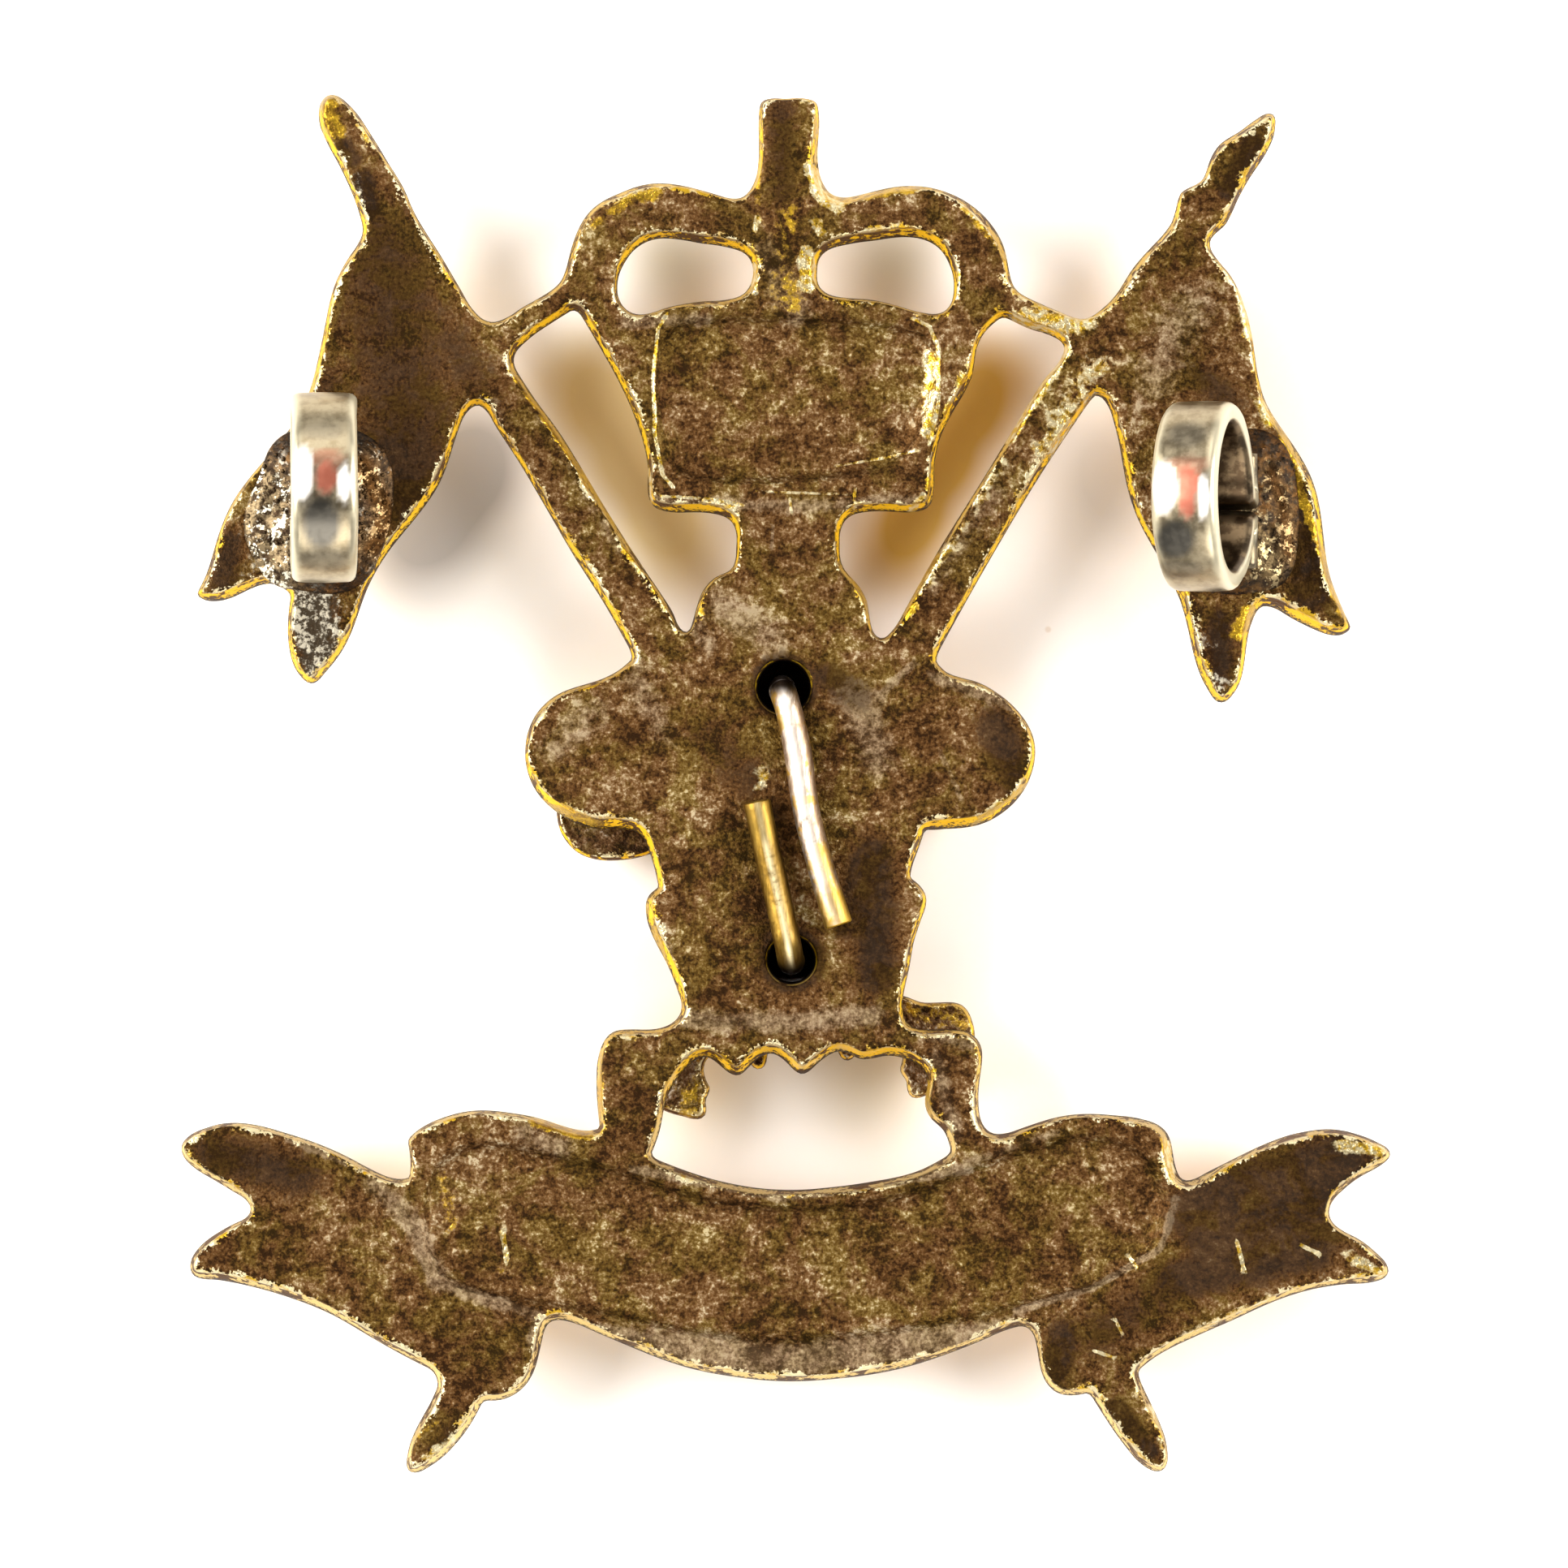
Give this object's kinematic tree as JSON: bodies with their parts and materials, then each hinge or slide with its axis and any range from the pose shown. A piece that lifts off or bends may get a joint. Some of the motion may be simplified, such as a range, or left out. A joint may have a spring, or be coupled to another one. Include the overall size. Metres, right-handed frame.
{
  "type": "cap badge",
  "caption": "Die-struck cap badge with a crown, crossed lances, plain scroll and plume mount, its rear carrying bent fixing wires and soldered strip loops.",
  "frame": {"origin": "centre of the bounding box in X and Y, at the height of the front relief's highest points, which the badge rests on when it lies face down", "axes": "+Z out of the badge's rear, +Y towards the crown, +X to the right as the rear is looked at"},
  "size_m": [0.04, 0.0456, 0.0103],
  "materials": {
    "gilt": "worn and toned gilt",
    "white_metal": "toned white metal",
    "band_gilt": "toned gilt",
    "silvered_wire": "silvered and rubbed",
    "brass_wire": "drawn, dull",
    "loop_strip": "tinned with solder",
    "solder": "grainy and toned"
  },
  "bodies": {
    "root": {"backing_plate": "gilt", "plume_mount": "white_metal", "band_mount": "band_gilt", "upper_fixing_wire": "silvered_wire", "lower_fixing_wire": "brass_wire", "left_loop": "loop_strip", "right_loop": "loop_strip", "left_loop_solder": "solder", "right_loop_solder": "solder"}
  },
  "joints": []
}
